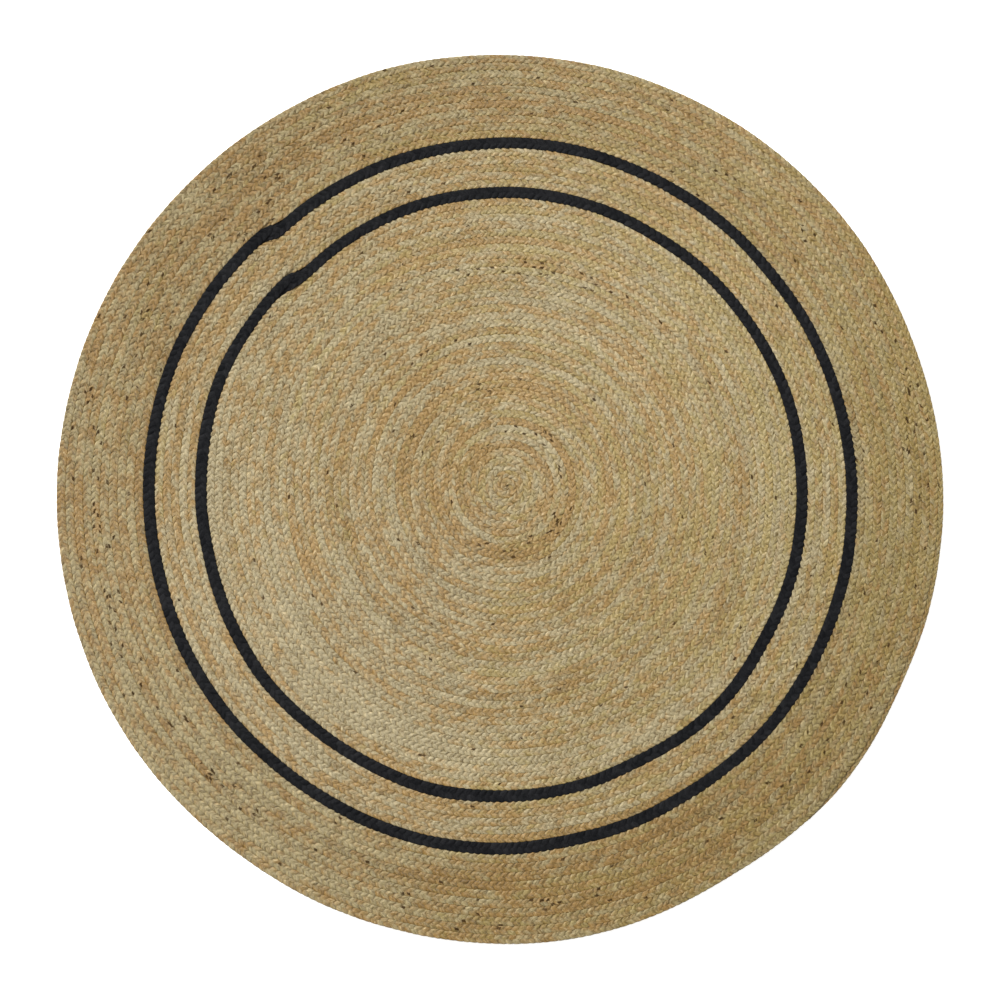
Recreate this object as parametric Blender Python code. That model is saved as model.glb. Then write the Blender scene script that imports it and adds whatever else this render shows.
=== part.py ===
"""A round rug of jute braid, coiled flat from the middle and sewn edge to edge.

The coil winds outward clockwise, seen from above. Every turn lies one row further out than
the turn before it, and the braid changes colour at one splice line: a natural middle, one
black turn, five natural turns, a second black turn and a natural border out to the rim.
Each length of braid is a solid of its own. It is flat below, and its top is raised in one
rib for each turn. Metres, +Z up, and the rug lies on z = 0 with its middle at the origin.
"""

import math

import bpy

# The rug and its braid
RUG_RADIUS = 0.600
BRAID_HEIGHT = 0.008  # from the floor to the crest of a natural row
BLACK_HEIGHT = 0.0086  # the black braid is wider and a little fuller
GROOVE_HEIGHT = 0.005  # between two rows
RIM_HEIGHT = 0.004  # where the outermost row turns down to the floor
ROW_WIDTH = 0.01065
FIRST_ROW_WIDTH = 0.01011  # the braid is pulled tighter in the middle
BLACK_WIDTH = 0.0152
SEAM_GAP = 0.0003

# Turns of each natural length
FIELD_TURNS = 39
BAND_TURNS = 5
BORDER_TURNS = 11

# Directions, in degrees counter-clockwise from +X
SPLICE_ANGLE = 134.0  # each colour starts and ends here
RIM_END_ANGLE = 320.0  # the outer end of the braid is tucked in here
RIM_END_SHARE = 0.5  # of a row's width is left where the end is tucked in
RIM_SQUEEZE_TURNS = 0.3  # and the last row narrows over this share of a turn before it

# The coil isn't quite true: its middle lies off the rug's, and its turns are a little oval
DRIFT = (0.0090, 0.0165)
DRIFT_POWER = 1.85
OVAL = (-0.0021, -0.0009)

SIDES = 60  # straight stretches in one turn
SHARP_ANGLE = math.radians(70)  # the ribs are shaded round, and the floor's edges sharp

JUTE = (0.46, 0.33, 0.17)
BLACK = (0.014, 0.015, 0.020)


def spiral_radius(turn):
    """The inner edge of the middle's coil after that many turns; it starts at turn 1."""
    turns_out = max(turn - 1, 0.0)
    widening = (ROW_WIDTH - FIRST_ROW_WIDTH) / (2 * (FIELD_TURNS - 1))
    return FIRST_ROW_WIDTH * turns_out + widening * turns_out**2


# The inner edge of each length at the splice, and the step at which the last row ends
INNER_BLACK_START = spiral_radius(FIELD_TURNS)
BAND_START = INNER_BLACK_START + BLACK_WIDTH
OUTER_BLACK_START = BAND_START + BAND_TURNS * ROW_WIDTH
BORDER_START = OUTER_BLACK_START + BLACK_WIDTH
RIM_END_TURN = ((SPLICE_ANGLE - RIM_END_ANGLE) % 360) / 360
RIM_END_STEP = (BORDER_TURNS - 1) * SIDES + round(RIM_END_TURN * SIDES)


def smooth_step(share):
    share = min(max(share, 0.0), 1.0)
    return share * share * (3 - 2 * share)


def on_rug(radius, step, height):
    """The point of the rug at a radius of the true spiral, that many steps clockwise of the splice."""
    angle = math.radians(SPLICE_ANGLE) - 2 * math.pi * (step - 0.5) / SIDES
    share = radius / RUG_RADIUS
    drift = 1 - share**DRIFT_POWER
    swell = 4 * share * (1 - share)
    oval = swell * (OVAL[0] * math.cos(2 * angle) + OVAL[1] * math.sin(2 * angle))
    return (
        DRIFT[0] * drift + (radius + oval) * math.cos(angle),
        DRIFT[1] * drift + (radius + oval) * math.sin(angle),
        height,
    )


def turns_at(step):
    """Turns since the splice at a step; the splice lies half way between steps 0 and 1."""
    return (step - 0.5) / SIDES


def seam_radius(start, step):
    """A seam that runs once round from start, the radius at the splice, to one row further out."""
    return start + ROW_WIDTH * turns_at(step)


def field_edge(step):
    return spiral_radius(turns_at(step))


def band_edge(step):
    return seam_radius(BAND_START, step)


def border_edge(step):
    """The edges of the border's rows share out the width between the black turn and the rim."""
    row, step_in_turn = divmod(step - 1, SIDES)
    turn = turns_at(step_in_turn + 1)
    rows = BORDER_TURNS - 1
    if turn <= RIM_END_TURN:
        squeeze = smooth_step((turn - RIM_END_TURN) / RIM_SQUEEZE_TURNS + 1)
        rows = BORDER_TURNS - RIM_END_SHARE * squeeze
    inner = seam_radius(BORDER_START, step_in_turn + 1)
    return inner + row * (RUG_RADIUS - inner) / rows


class Solid:
    """Points that are shared by name, and faces between them; a face that closes to a line is left out."""

    def __init__(self):
        self.points, self.number, self.faces = [], {}, []

    def point(self, name, place):
        self.number[name] = len(self.points)
        self.points.append(place)

    def same(self, name, other):
        self.number[name] = self.number[other]

    def face(self, *names):
        corners = []
        for name in names:
            if self.number[name] not in corners:
                corners.append(self.number[name])
        if len(corners) > 2:
            self.faces.append(corners)

    def build(self, name, colour):
        mesh = bpy.data.meshes.new(name)
        mesh.from_pydata(self.points, [], self.faces)
        mesh.validate()
        mesh.shade_smooth()
        mesh.set_sharp_from_angle(angle=SHARP_ANGLE)
        mesh.materials.append(colour)
        rug_piece = bpy.data.objects.new(name, mesh)
        bpy.context.scene.collection.objects.link(rug_piece)
        return rug_piece


def material(name, colour, roughness):
    made = bpy.data.materials.new(name)
    made.use_nodes = True
    shader = made.node_tree.nodes["Principled BSDF"]
    shader.inputs["Base Color"].default_value = (*colour, 1)
    shader.inputs["Roughness"].default_value = roughness
    shader.inputs["Metallic"].default_value = 0
    made.diffuse_color = (*colour, 1)
    return made


def close_below(solid, has_inner_seam):
    """The walls down to the floor, and the flat underside between them."""
    for step in range(SIDES):
        a, b = step, (step + 1) % SIDES
        solid.face(("outer", a), ("outer", b), ("outer floor", b), ("outer floor", a))
        if has_inner_seam:
            solid.face(("inner", b), ("inner", a), ("inner floor", a), ("inner floor", b))
            solid.face(
                ("inner floor", b), ("inner floor", a), ("outer floor", a), ("outer floor", b)
            )
        else:
            solid.face(("outer floor", a), ("outer floor", b), "middle floor")


def black_ring(name, start, colour):
    """One closed turn of black braid. At the splice it steps in by a row over one side."""
    solid = Solid()
    lines = (
        ("inner", start + SEAM_GAP / 2, GROOVE_HEIGHT),
        ("crest", start + BLACK_WIDTH / 2, BLACK_HEIGHT),
        ("outer", start + BLACK_WIDTH - SEAM_GAP / 2, GROOVE_HEIGHT),
        ("inner floor", start + SEAM_GAP / 2, 0.0),
        ("outer floor", start + BLACK_WIDTH - SEAM_GAP / 2, 0.0),
    )
    for line, radius, height in lines:
        for step in range(SIDES):
            solid.point((line, step), on_rug(seam_radius(radius, step + 1), step + 1, height))
    for step in range(SIDES):
        a, b = step, (step + 1) % SIDES
        solid.face(("inner", a), ("inner", b), ("crest", b), ("crest", a))
        solid.face(("crest", a), ("crest", b), ("outer", b), ("outer", a))
    close_below(solid, has_inner_seam=True)
    return solid.build(name, colour)


def coil(name, edge, last_step, inner_start, outer_seam, outer_height, colour):
    """A length of natural braid wound in many turns, as one solid with a rib for each turn.

    edge gives the inner edge of the row at a step, and rows run from step 1 to last_step; the
    first and last taper to nothing one step outside them. inner_start is the inner seam's
    radius at the splice, or None for the middle. outer_seam gives the outer seam at a step.
    """
    solid = Solid()
    end = last_step + 1
    first_crest = 1

    # The row edges: one turn's outer edge is the next turn's inner edge
    if inner_start is None:
        first_crest = SIDES // 2 + 1
        solid.point("middle floor", (0.0, 0.0, 0.0))
        solid.point(("edge", 0), on_rug(0.0, 1, BRAID_HEIGHT))
        for step in range(1, SIDES + 1):
            solid.same(("edge", step), ("edge", 0))
    else:
        for step in range(1, SIDES + 1):
            radius = seam_radius(inner_start, step) + SEAM_GAP / 2
            solid.point(("edge", step), on_rug(radius, step, GROOVE_HEIGHT))
            solid.point(("inner floor", step % SIDES), on_rug(radius, step, 0.0))
        solid.same(("edge", 0), ("edge", SIDES))
    for step in range(SIDES + 1, end):
        solid.point(("edge", step), on_rug(edge(step), step, GROOVE_HEIGHT))
    for step in range(end, end + SIDES):
        radius = outer_seam(step)
        solid.point(("edge", step), on_rug(radius, step, outer_height))
        solid.point(("outer floor", step % SIDES), on_rug(radius, step, 0.0))
    solid.same(("edge", end + SIDES), ("edge", end))

    # The crests, each half way across its row
    for step in range(first_crest):
        solid.same(("crest", step), ("edge", 0))
    for step in range(first_crest, end):
        outside = step + SIDES
        outer = edge(outside) if outside < end else outer_seam(outside)
        solid.point(("crest", step), on_rug((edge(step) + outer) / 2, step, BRAID_HEIGHT))
    solid.same(("crest", end), ("edge", end))

    for step in range(end):
        outside = step + SIDES
        solid.face(("edge", step), ("edge", step + 1), ("crest", step + 1), ("crest", step))
        solid.face(("crest", step), ("crest", step + 1), ("edge", outside + 1), ("edge", outside))

    for step in range(SIDES):
        solid.same(("inner", step), ("edge", step))
        solid.same(("outer", (end + step) % SIDES), ("edge", end + step))
    close_below(solid, has_inner_seam=inner_start is not None)
    return solid.build(name, colour)


def inner_black_seam(step):
    return seam_radius(INNER_BLACK_START, step - FIELD_TURNS * SIDES) - SEAM_GAP / 2


def outer_black_seam(step):
    return seam_radius(OUTER_BLACK_START, step - BAND_TURNS * SIDES) - SEAM_GAP / 2


def rim(step):
    return RUG_RADIUS


# Each natural length: its row edges, last step, inner seam, outer seam and outer height
COILS = (
    ("centre_field", field_edge, FIELD_TURNS * SIDES, None, inner_black_seam, GROOVE_HEIGHT),
    ("middle_band", band_edge, BAND_TURNS * SIDES, BAND_START, outer_black_seam, GROOVE_HEIGHT),
    ("outer_border", border_edge, RIM_END_STEP, BORDER_START, rim, RIM_HEIGHT),
)
BLACK_RINGS = (
    ("inner_black_ring", INNER_BLACK_START),
    ("outer_black_ring", OUTER_BLACK_START),
)


def main():
    for old in list(bpy.data.objects):
        bpy.data.objects.remove(old, do_unlink=True)
    jute = material("natural_jute", JUTE, 0.85)
    black = material("black_jute", BLACK, 0.75)
    for name, start in BLACK_RINGS:
        black_ring(name, start, black)
    for name, edge, last_step, inner_start, outer_seam, outer_height in COILS:
        coil(name, edge, last_step, inner_start, outer_seam, outer_height, jute)


main()
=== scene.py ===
# %% [markdown]
# # A round rug of braided jute
#
# The real rug is one long braid of three jute strands, coiled flat from the middle and sewn
# edge to edge. Two of its turns are dyed black. This lesson dresses the plain solids of the
# frame: it plaits the braid strand by strand, lays it along the coil with Geometry Nodes, and
# gives every strand its own fibres and tones. Everything is in metres, and +Z is up.

import math

import bmesh
import bpy
import numpy as np
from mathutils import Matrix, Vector, noise


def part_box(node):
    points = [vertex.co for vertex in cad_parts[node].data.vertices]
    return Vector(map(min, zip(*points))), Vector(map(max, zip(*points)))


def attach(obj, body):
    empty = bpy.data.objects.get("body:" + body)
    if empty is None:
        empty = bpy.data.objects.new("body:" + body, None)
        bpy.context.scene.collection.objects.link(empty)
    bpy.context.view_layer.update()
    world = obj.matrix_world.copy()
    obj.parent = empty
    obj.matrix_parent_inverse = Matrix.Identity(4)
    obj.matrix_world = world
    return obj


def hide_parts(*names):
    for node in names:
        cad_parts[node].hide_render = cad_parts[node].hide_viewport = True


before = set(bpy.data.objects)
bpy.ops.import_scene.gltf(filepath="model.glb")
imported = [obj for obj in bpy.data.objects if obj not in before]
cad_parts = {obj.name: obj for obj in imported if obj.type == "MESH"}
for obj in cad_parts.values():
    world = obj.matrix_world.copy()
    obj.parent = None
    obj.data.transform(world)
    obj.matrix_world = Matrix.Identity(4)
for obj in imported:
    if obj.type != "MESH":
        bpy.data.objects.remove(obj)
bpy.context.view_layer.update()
RUG_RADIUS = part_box("outer_border")[1].x
BRAID_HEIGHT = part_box("centre_field")[1].z
BLACK_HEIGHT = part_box("inner_black_ring")[1].z
print(f"rug {2 * RUG_RADIUS:.3f} m across, natural braid {BRAID_HEIGHT * 1000:.1f} mm high")

# %% [markdown]
# ## Where each turn of the coil lies
#
# A rug maker winds the braid outward clockwise, so each turn lies one row further out than the
# one before it. All colours start and end at one splice line, where the coil steps back by a
# row over a few centimetres. A row is described by two radii, of its inner and outer edge, as
# functions of the turns wound so far. That is simpler than drawing the coil as a curve, because
# the outer edge of one turn is then exactly the inner edge of the next.

# %% The rows' widths, and the turns of each length
ROW_WIDTH = 0.01065
FIRST_ROW_WIDTH = 0.01011  # the braid is pulled tighter in the middle
BLACK_WIDTH = 0.0152
FIELD_TURNS = 39
BAND_TURNS = 5
BORDER_TURNS = 11

SPLICE_ANGLE = 134.0  # degrees counter-clockwise from +X
RIM_END_ANGLE = 320.0  # the outer end of the braid is tucked in here
RIM_END_TURN = ((SPLICE_ANGLE - RIM_END_ANGLE) % 360) / 360
RIM_END_ROWS = 10.5  # half of the last row is left where its end is tucked in
RIM_SQUEEZE_TURNS = 0.30  # it narrows over this share of a turn before its end
RIM_TUCK_TURNS = 0.018  # and is gone after this one


def field_edge(turn):
    """The middle's coil: the radius of a row's inner edge; its outer edge is one turn later."""
    turns_out = np.maximum(turn - 1, 0.0)
    widening = (ROW_WIDTH - FIRST_ROW_WIDTH) / (2 * (FIELD_TURNS - 1))
    return FIRST_ROW_WIDTH * turns_out + widening * turns_out**2


INNER_BLACK_START = float(field_edge(FIELD_TURNS))
BAND_START = INNER_BLACK_START + BLACK_WIDTH
OUTER_BLACK_START = BAND_START + BAND_TURNS * ROW_WIDTH
BORDER_START = OUTER_BLACK_START + BLACK_WIDTH
black_starts = f"{INNER_BLACK_START:.4f} and {OUTER_BLACK_START:.4f} m"
print(f"the black turns start {black_starts} from the middle")

# %% The seams between two colours
# Where each seam steps back: the slant's middle and half its length, in degrees clockwise of
# the splice line. Where one seam steps later than the other, the black turn is wider.
SLANTS = {
    INNER_BLACK_START: (-2.6, 4.6),
    BAND_START: (0.7, 3.0),
    OUTER_BLACK_START: (1.7, 2.4),
    BORDER_START: (3.4, 2.8),
}


def smooth_step(share):
    """From 0 to 1, starting and ending gently."""
    share = np.clip(share, 0.0, 1.0)
    return share * share * (3 - 2 * share)


def slant_ends(start):
    """The turns at which a seam starts and ends its slant."""
    middle, half = SLANTS[start]
    return (middle - half) / 360, (middle + half) / 360


def between(turn, ends, before, after):
    """From one radius to another over a stretch of turns."""
    first, last = ends
    return before + (after - before) * smooth_step((turn - first) / (last - first))


def seam(start, turn):
    """A seam between two colours, from start at turn 0; at the splice it steps back by one row."""
    turn = turn - np.round(turn)
    line = start + ROW_WIDTH * turn
    return between(turn, slant_ends(start), line + ROW_WIDTH, line)


for start in SLANTS:
    first, last = slant_ends(start)
    stretch = (last - first) * 2 * math.pi * start
    print(f"the seam {start:.4f} m from the middle steps back over {stretch * 1000:.0f} mm")

# %% The border's rows


def rows_in_border(turn):
    """Eleven rows, or ten from where the last one is tucked in."""
    squeeze = smooth_step((turn - RIM_END_TURN) / RIM_SQUEEZE_TURNS + 1)
    tuck = smooth_step((turn - RIM_END_TURN) / RIM_TUCK_TURNS)
    narrowing = (BORDER_TURNS - RIM_END_ROWS) * squeeze
    return BORDER_TURNS - narrowing - (RIM_END_ROWS - BORDER_TURNS + 1) * tuck


def border_edge(turn):
    """The border's rows share out the width between the black turn and the rim."""
    ends = slant_ends(BORDER_START)
    splice = (ends[0] + ends[1]) / 2

    def shared_out(row, part, rows):
        inner = BORDER_START + ROW_WIDTH * part
        return inner + row * (RUG_RADIUS - inner) / rows

    row = np.floor(turn - splice)
    nearest = np.round(turn - splice)
    before = shared_out(nearest - 1, 1 + ends[0], BORDER_TURNS - 1)
    after = shared_out(nearest, ends[1], BORDER_TURNS)
    slanted = between(turn - nearest, ends, before, after)
    is_near = np.abs(turn - splice - nearest) < (ends[1] - ends[0]) / 2
    return np.where(is_near, slanted, shared_out(row, turn - row, rows_in_border(turn - row)))


print(f"the border has {rows_in_border(0.0):.0f} rows, and {rows_in_border(1.0):.0f} past its end")

# %% The two edges of each length


def band_edge(turn):
    """The band's rows all have the same width."""
    return BAND_START + ROW_WIDTH * turn


def natural_row(edge, turns, inner_start=None, outer_start=None):
    """A natural length's inner and outer edge, as functions of the turns wound."""

    def inner(turn):
        if inner_start is None:
            return edge(turn)
        return np.where(turn < slant_ends(inner_start)[1], seam(inner_start, turn), edge(turn))

    def outer(turn):
        if outer_start is None:
            return np.where(turn > turns - 1, RUG_RADIUS, edge(turn + 1))
        is_ending = turn > turns + slant_ends(outer_start)[0]
        return np.where(is_ending, seam(outer_start, turn), edge(turn + 1))

    return inner, outer


def black_ends(start):
    """The stretch over which a black turn's two ends lie side by side, each cut to a taper."""
    return slant_ends(start)[0], slant_ends(start + BLACK_WIDTH)[1]


def black_row(start):
    """A black turn's edges. One line, from its inner seam to its outer one, parts its two ends."""
    ends = black_ends(start)

    def joint(turn):
        line = start + ROW_WIDTH * turn
        return between(turn, ends, line + ROW_WIDTH, line + BLACK_WIDTH)

    def inner(turn):
        return np.where(turn > 1 + ends[0], joint(turn - 1), seam(start, turn))

    def outer(turn):
        return np.where(turn < ends[1], joint(turn), seam(start + BLACK_WIDTH, turn))

    return inner, outer


black_edges = [float(edge(0.5)) for edge in black_row(INNER_BLACK_START)]
print(f"opposite the splice a black turn is {np.diff(black_edges)[0] * 1000:.1f} mm wide")

# %% [markdown]
# ## The rug isn't quite true
#
# Hand sewing leaves its marks: the coil's middle lies beside the rug's, its turns are slightly
# oval, the rows wander by about a millimetre, and the rim has a few swells. One function maps a
# point of the true coil to its place on this rug, so all rows wander together and stay closed.

# %% From the true coil to the sewn rug
DRIFT = (0.0090, 0.0165)  # how far right and up the coil's middle lies
DRIFT_POWER = 1.85  # how that lessens toward the rim
OVAL = (-0.0021, -0.0009)  # how far turns halfway out bulge, toward +X and toward 45 degrees
STRAY = 0.0004  # how far rows wander by chance
STRAY_DISTANCE = 0.045  # and over what distance
STRAY_SEED = 1795547285  # without a seed, the noise would follow the clock
# Where rows near the black turns lie further out or in: direction in degrees, share of the
# radius, how far, and half the width in degrees
ROW_SWELLS = (
    (20, 0.68, 0.0018, 9),
    (39, 0.79, -0.0020, 8),
    (58, 0.68, -0.0013, 8),
    (82, 0.79, 0.0028, 12),
    (121, 0.73, -0.0028, 9),
    (132, 0.67, -0.0028, 6),
    (132, 0.80, -0.0028, 6),
    (141, 0.73, -0.0030, 10),
    (160, 0.71, 0.0020, 9),
    (192, 0.73, -0.0017, 9),
    (219, 0.68, 0.0018, 8),
    (256, 0.70, 0.0030, 9),
    (281, 0.79, -0.0034, 8),
    (296, 0.68, -0.0028, 8),
    (314, 0.68, 0.0012, 9),
    (330, 0.66, -0.0019, 7),
    (335, 0.80, 0.0026, 9),
    (348, 0.80, 0.0015, 6),
)
ROW_SWELL_REACH = 0.09  # of the radius, inward and outward
# Swells of the rim: direction in degrees, how far, half the width in degrees
RIM_SWELLS = (
    (320, 0.0045, 9),
    (278, 0.0038, 14),
    (104, 0.0019, 12),
    (232, -0.0026, 14),
    (20, -0.0020, 12),
    (336, -0.0014, 6),
    (300, -0.0015, 6),
)
SWELLS_FADE_IN = 0.45  # of the radius, from the rim inward

noise.seed_set(STRAY_SEED)


def bell(degrees, direction, half_width):
    """1 in one direction, fading on both sides of it."""
    apart = (degrees - direction + 180) % 360 - 180
    return np.exp(-((apart / half_width) ** 2))


def swells(share, angle):
    """How far outward the rows are pushed at a share of the radius."""
    degrees = np.degrees(angle)
    total = np.zeros_like(degrees)
    for direction, height, half_width in RIM_SWELLS:
        fading = smooth_step((share - 1) / SWELLS_FADE_IN + 1)
        total += height * fading * bell(degrees, direction, half_width)
    for direction, place, height, half_width in ROW_SWELLS:
        fading = np.exp(-(((share - place) / ROW_SWELL_REACH) ** 2))
        total += height * fading * bell(degrees, direction, half_width)
    return total


def on_rug(radius, turn):
    """Points in plan, as a two-column array, for radii of the true coil at these turns."""
    angle = math.radians(SPLICE_ANGLE) - 2 * math.pi * turn
    share = radius / RUG_RADIUS
    drift = 1 - share**DRIFT_POWER
    oval = 4 * share * (1 - share) * (OVAL[0] * np.cos(2 * angle) + OVAL[1] * np.sin(2 * angle))
    reach = radius + oval + swells(share, angle)
    x = DRIFT[0] * drift + reach * np.cos(angle)
    y = DRIFT[1] * drift + reach * np.sin(angle)
    chance = [noise.noise_vector(Vector((*place, 0)) / STRAY_DISTANCE)[:2] for place in zip(x, y)]
    return np.stack([x, y], 1) + STRAY * np.array(chance)


coil_middle = on_rug(np.zeros(1), np.zeros(1))[0] * 1000
print(f"the coil's middle lies {coil_middle[0]:.0f} mm right and {coil_middle[1]:.0f} mm up")

# %% [markdown]
# ## The path of each braid
#
# Geometry Nodes can bend a straight braid along any line of points. So each length gets a path
# of short edges down the middle of its row. Every point also carries two vectors. `half_row`
# reaches in plan from the row's middle to its outer edge, and upward it holds the braid's
# height, which lets one braid swell, narrow and taper along its way. `batch` says how tan and
# how flecked the fibre is there, because a braider now and then takes up a darker batch.

# %% Where darker batches were braided in
# Direction and half width in degrees, radius and half width in metres, tan, and flecks
BATCHES = (
    (320, 70, 0.077, 0.007, 0.3, 0.22),
    (62, 28, 0.077, 0.007, 0.2, 0.20),
    (290, 60, 0.088, 0.012, 0.5, 0.00),
    (205, 25, 0.088, 0.009, 0.6, 0.00),
    (150, 18, 0.135, 0.014, 0.8, 0.02),
    (82, 30, 0.130, 0.010, 0.5, 0.02),
    (40, 14, 0.122, 0.014, 0.5, 0.00),
    (226, 10, 0.141, 0.010, 0.6, 0.00),
    (292, 14, 0.130, 0.008, 0.6, 0.00),
    (296, 14, 0.271, 0.007, 0.6, 0.04),
    (78, 24, 0.296, 0.012, 0.4, 0.12),
    (120, 12, 0.200, 0.006, 0.5, 0.10),
    (270, 80, 0.357, 0.014, -0.4, 0.00),
    (352, 14, 0.357, 0.012, -0.4, 0.00),
    (268, 9, 0.516, 0.010, 0.7, 0.02),
    (312, 14, 0.520, 0.014, 0.5, 0.02),
    (138, 18, 0.538, 0.022, 0.5, 0.04),
    (326, 16, 0.548, 0.016, 0.4, 0.02),
    (274, 8, 0.546, 0.010, 0.2, 0.18),
    (10, 16, 0.566, 0.010, 0.2, 0.12),
    (190, 16, 0.542, 0.012, 0.2, 0.10),
    (228, 10, 0.541, 0.008, 0.2, 0.14),
    (238, 22, 0.572, 0.020, -0.5, 0.00),
)


def batches(turn, radius):
    """How tan and how flecked the fibre is, and 0 as the third part, for each point of a path."""
    degrees = SPLICE_ANGLE - 360 * turn
    found = np.zeros((len(turn), 3))
    for direction, half_width, place, reach, tan, flecks in BATCHES:
        share = bell(degrees, direction, half_width) * np.exp(-(((radius - place) / reach) ** 2))
        found += share[:, None] * (tan, flecks, 0)
    return found


print(f"{len(BATCHES)} batches of tanner, paler or flecked fibre")

# %% How the ends of a length lie
POINTS_IN_TURN = 720
TAPER_HEIGHT = 0.6  # a tapered end is also thinner, down to this share of its height
TIP_WIDTH = 0.0006  # a taper ends this wide
TIP_LAP = 0.0008  # and runs under its neighbours by this much, so no floor shows between them
TIP_TURNS = 0.0035  # and reaches this much farther, because the lobes trail behind its end
CURL_START = 0.10  # of a turn: the coil starts here, because the braid can't curl more tightly
LEAD_IN = 0.012  # its first end runs straight for this far, hidden by the next turn
LEAD_IN_WIDTH = 0.002
LEAD_IN_POINTS = 24


def with_lead_in(middle, half):
    """Adds a narrow, low and straight run before a path, so the coil has no hole in its middle."""
    ahead = (middle[1] - middle[0]) / np.linalg.norm(middle[1] - middle[0])
    back = np.linspace(LEAD_IN, 0, LEAD_IN_POINTS, endpoint=False)[:, None]
    sideways = half[0] / np.linalg.norm(half[0]) * LEAD_IN_WIDTH / 2
    return (
        np.vstack([middle[0] - back * ahead, middle]),
        np.vstack([np.tile(sideways, (LEAD_IN_POINTS, 1)), half]),
    )


# %% Lay the paths


def lay_path(name, row, ends, width=ROW_WIDTH, height=BRAID_HEIGHT, lead_in=False):
    """Makes a length's path. row is its two edges, and ends are its first and last turn."""
    inner, outer = row
    turn = np.linspace(*ends, round((ends[1] - ends[0]) * POINTS_IN_TURN) + 1)
    inside = on_rug(inner(turn), turn)
    outside = on_rug(np.maximum(outer(turn), inner(turn) + TIP_WIDTH), turn)
    middle, half = (inside + outside) / 2, (outside - inside) / 2
    if lead_in:
        middle, half = with_lead_in(middle, half)
        turn = np.concatenate([np.full(LEAD_IN_POINTS, ends[0]), turn])
    half_width = np.linalg.norm(half, axis=1)
    fullness = smooth_step(2 * half_width / width)
    high = height * (TAPER_HEIGHT + (1 - TAPER_HEIGHT) * fullness)
    half *= (1 + TIP_LAP * (1 - fullness) / half_width)[:, None]

    mesh = bpy.data.meshes.new(name)
    points = [(x, y, 0.0) for x, y in middle]
    mesh.from_pydata(points, [(i, i + 1) for i in range(len(points) - 1)], [])
    vectors = {"half_row": np.column_stack([half, high]), "batch": batches(turn, inner(turn))}
    for attribute, values in vectors.items():
        made = mesh.attributes.new(attribute, "FLOAT_VECTOR", "POINT")
        made.data.foreach_set("vector", values.ravel())
    path = bpy.data.objects.new(name, mesh)
    path["length"] = float(np.linalg.norm(np.diff(middle, axis=0), axis=1).sum())
    bpy.context.scene.collection.objects.link(path)
    print(f"{name}: {ends[1] - ends[0]:.2f} turns, {path['length']:.2f} m of braid")
    return path


def lay_black_path(name, start):
    """The path of a black turn, whose two ends lie side by side."""
    first, last = black_ends(start)
    ends = (first - TIP_TURNS, 1 + last + TIP_TURNS)
    return lay_path(name, black_row(start), ends, BLACK_WIDTH, BLACK_HEIGHT)


paths = {
    "centre_field": lay_path(
        "field_path",
        natural_row(field_edge, FIELD_TURNS, outer_start=INNER_BLACK_START),
        (CURL_START, FIELD_TURNS + slant_ends(INNER_BLACK_START)[1] + TIP_TURNS),
        lead_in=True,
    ),
    "inner_black_ring": lay_black_path("inner_black_path", INNER_BLACK_START),
    "middle_band": lay_path(
        "band_path",
        natural_row(band_edge, BAND_TURNS, BAND_START, OUTER_BLACK_START),
        (
            slant_ends(BAND_START)[0] - TIP_TURNS,
            BAND_TURNS + slant_ends(OUTER_BLACK_START)[1] + TIP_TURNS,
        ),
    ),
    "outer_black_ring": lay_black_path("outer_black_path", OUTER_BLACK_START),
    "outer_border": lay_path(
        "border_path",
        natural_row(border_edge, BORDER_TURNS, inner_start=BORDER_START),
        (
            slant_ends(BORDER_START)[0] - TIP_TURNS,
            BORDER_TURNS - 1 + RIM_END_TURN + RIM_TUCK_TURNS,
        ),
    ),
}

# %% [markdown]
# ## One plait of the braid
#
# Seen from above, a flat braid of three strands shows a row of plump lobes on each side, half a
# plait out of step, which meet in a zigzag along the middle. One plait, one lobe on each side,
# is the shape that repeats. It is modelled in loom units: one plait long, from -1 to 1 wide,
# and from 0 to 1 high. Creases between lobes are marked sharp, so a few faces look like separate
# strands. Its two UV maps hold the weave's own coordinates, for the finish, and a small tile
# for baking.

# %% The plait's cross section
STEPS = 4  # along one plait
# How far out a column of points lies, its height on a lobe and in a crease, and how much of the
# bake tile lies between it and the one before. The last two columns are the underside.
SECTION = (
    # across, crest, crease, tile share
    (-1.06, 0.92, 0.78, 0.06),
    (-0.90, 0.97, 0.79, 0.07),
    (-0.62, 1.00, 0.79, 0.11),
    (-0.30, 1.00, 0.80, 0.12),
    (0.00, 0.96, 0.82, 0.12),
    (0.30, 1.00, 0.80, 0.12),
    (0.62, 1.00, 0.79, 0.12),
    (0.90, 0.97, 0.79, 0.11),
    (1.06, 0.92, 0.78, 0.07),
    (0.45, 0.00, 0.00, 0.06),
    (-0.45, 0.00, 0.00, 0.04),
)
MIDDLE = 4  # the number of the column in the middle
EDGE_PINCH = 0.05  # the edge draws in by this share between two lobes
ZIGZAG = 0.13  # the lobes reach across the middle by this share of half a row
UNDERSIDE = 4.0  # added to the weave's coordinate across on the underside


def lobe_swell(phase, side):
    """1 on a lobe's crest and 0 in the creases; the two sides are half a plait out of step."""
    return abs(math.sin(math.pi * phase)) if side < 0 else abs(math.cos(math.pi * phase))


def section_point(column, phase):
    """Where a column's point lies at this share of a plait."""
    across, crest, crease, _ = SECTION[column]
    if column == MIDDLE:
        lean = lobe_swell(phase, -1) - lobe_swell(phase, 1)
        return (phase, ZIGZAG * lean, crease + (crest - crease) * abs(lean))
    swell = lobe_swell(phase, across)
    return (phase, across * (1 - EDGE_PINCH * (1 - swell)), crease + (crest - crease) * swell)


# %% Make the plait


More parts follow.
